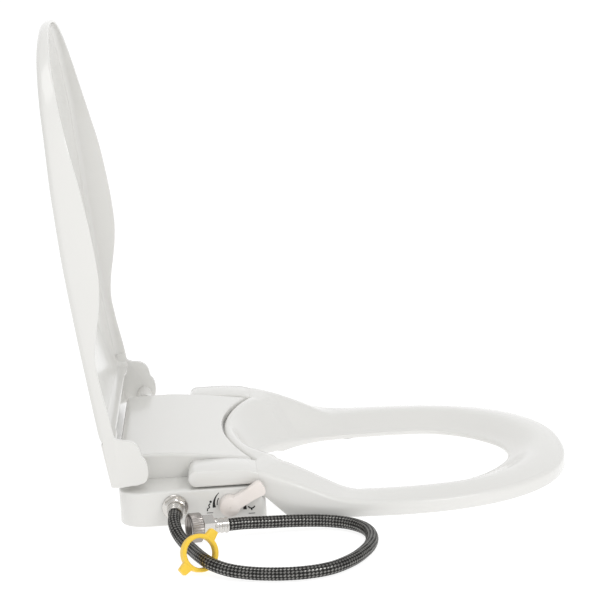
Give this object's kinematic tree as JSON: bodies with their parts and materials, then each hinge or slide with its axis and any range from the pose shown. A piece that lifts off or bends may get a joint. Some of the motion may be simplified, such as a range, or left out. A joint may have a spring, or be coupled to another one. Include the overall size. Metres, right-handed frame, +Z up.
{
  "type": "bidet seat",
  "caption": "Non-electric bidet seat for a round-front bowl: housing with a side control lever, hinged seat ring and lid, two sliding wash nozzles, and a braided water hose",
  "frame": {"origin": "On the mid-plane, on the line of the two bowl bolts, at the underside of the housing's mounting plate, which is the level of the bowl rim.", "axes": "+Z is up. -Y points to the front of the seat, +Y to the hinges and the tank. -X is the user's right-hand side, with the control pod and the hose; +X is the left-hand side."},
  "size_m": [0.5139, 0.5024, 0.4827],
  "materials": {
    "shell": "glossy white moulded plastic",
    "inner": "satin off-white moulded plastic",
    "lever": "glossy warm white moulded plastic",
    "rubber": "soft pale grey rubber",
    "steel": "bright turned stainless steel",
    "dark_metal": "dark plated metal with a knurled edge",
    "braid": "woven stainless wire braid with dark gaps",
    "hose_clip": "smooth yellow plastic"
  },
  "bodies": {
    "housing": {"base_tray": "inner", "deck_cover": "shell", "pod_cover": "shell", "pod_floor": "inner", "mount_plate": "inner", "slide_adjuster_right": "inner", "slide_adjuster_left": "inner", "housing_screw_1": "steel", "housing_screw_2": "steel", "housing_screw_3": "steel", "housing_screw_4": "steel", "seat_pin_right": "inner", "seat_pin_left": "inner", "seat_damper_right": "inner", "seat_damper_left": "inner", "lid_pin_right": "inner", "lid_pin_left": "inner", "lid_damper_right": "inner", "lid_damper_left": "inner", "nozzle_cradle": "inner", "gate_pin_right": "steel", "gate_pin_left": "steel", "valve_body": "inner", "feed_pipe_rear": "inner", "feed_pipe_front": "inner", "inlet_nipple": "steel", "inlet_flange": "steel", "inlet_nut": "steel", "supply_pipe": "inner", "hose_tube": "braid", "hose_ferrule_inlet": "steel", "hose_ferrule_end": "steel", "coupling_nut": "steel", "coupling_collar": "dark_metal", "coupling_washer": "rubber", "wing_ring": "hose_clip"},
    "lid": {"lid_shell": "shell", "lid_bumper_right": "rubber", "lid_bumper_left": "rubber"},
    "seat": {"seat_ring": "shell", "seat_underplate": "shell", "seat_bumper_front_right": "rubber", "seat_bumper_front_left": "rubber", "seat_bumper_rear_right": "rubber", "seat_bumper_rear_left": "rubber"},
    "lever": {"control_lever": "lever"},
    "rear_wand": {"rear_nozzle": "inner"},
    "front_wand": {"front_nozzle": "inner"},
    "gate": {"nozzle_gate": "shell"}
  },
  "joints": [
    {"name": "lid_hinge", "type": "hinge", "parent": "housing", "child": "lid", "pos_m": [0, 0.0156, 0.058], "axis": [1, 0, 0], "range_deg": [0, 101]},
    {"name": "seat_hinge", "type": "hinge", "parent": "housing", "child": "seat", "pos_m": [0, -0.043, 0.0523], "axis": [1, 0, 0], "range_deg": [-97, 0]},
    {"name": "lever_turn", "type": "hinge", "parent": "housing", "child": "lever", "pos_m": [-0.18, -0.0725, 0.027], "axis": [1, 0, 0], "range_deg": [-75, 30]},
    {"name": "rear_nozzle_slide", "type": "slide", "parent": "housing", "child": "rear_wand", "axis": [0, -0.8192, -0.5736], "range_m": [0, 0.055], "stiffness_N_per_m": 15, "springref_m": -0.02},
    {"name": "front_nozzle_slide", "type": "slide", "parent": "housing", "child": "front_wand", "axis": [0, -0.8192, -0.5736], "range_m": [0, 0.055], "stiffness_N_per_m": 15, "springref_m": -0.02},
    {"name": "gate_hinge", "type": "hinge", "parent": "housing", "child": "gate", "pos_m": [0, -0.069, 0.0338], "axis": [1, 0, 0], "range_deg": [-60, 0]}
  ]
}
